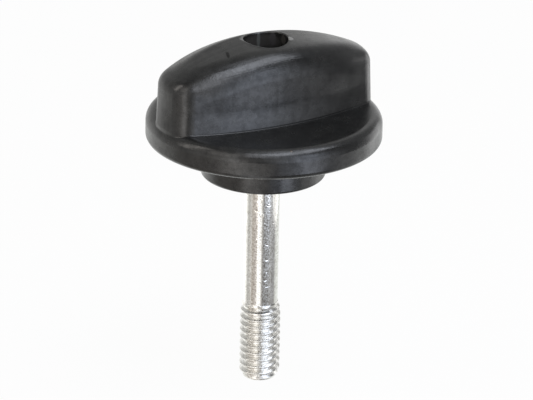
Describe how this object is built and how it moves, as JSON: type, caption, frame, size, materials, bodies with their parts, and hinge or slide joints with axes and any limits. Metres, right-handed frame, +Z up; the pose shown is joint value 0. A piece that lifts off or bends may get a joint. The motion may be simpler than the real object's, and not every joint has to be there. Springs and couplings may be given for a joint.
{
  "type": "clamping knob",
  "caption": "Black moulded bar-grip knob: an arched grip bar on a round disc and boss, moulded round a plated steel screw that is tightened by hand.",
  "frame": {"origin": "middle of the boss's underside, the face that presses on the clamped work", "axes": "+Z up the screw's axis towards the grip bar, X along the grip bar, Y across it"},
  "size_m": [0.0456, 0.0456, 0.0703],
  "materials": {
    "grip": "black moulded plastic with a soft sheen",
    "screw": "bright zinc plate"
  },
  "bodies": {
    "root": {"grip": "grip", "screw": "screw"}
  },
  "joints": []
}
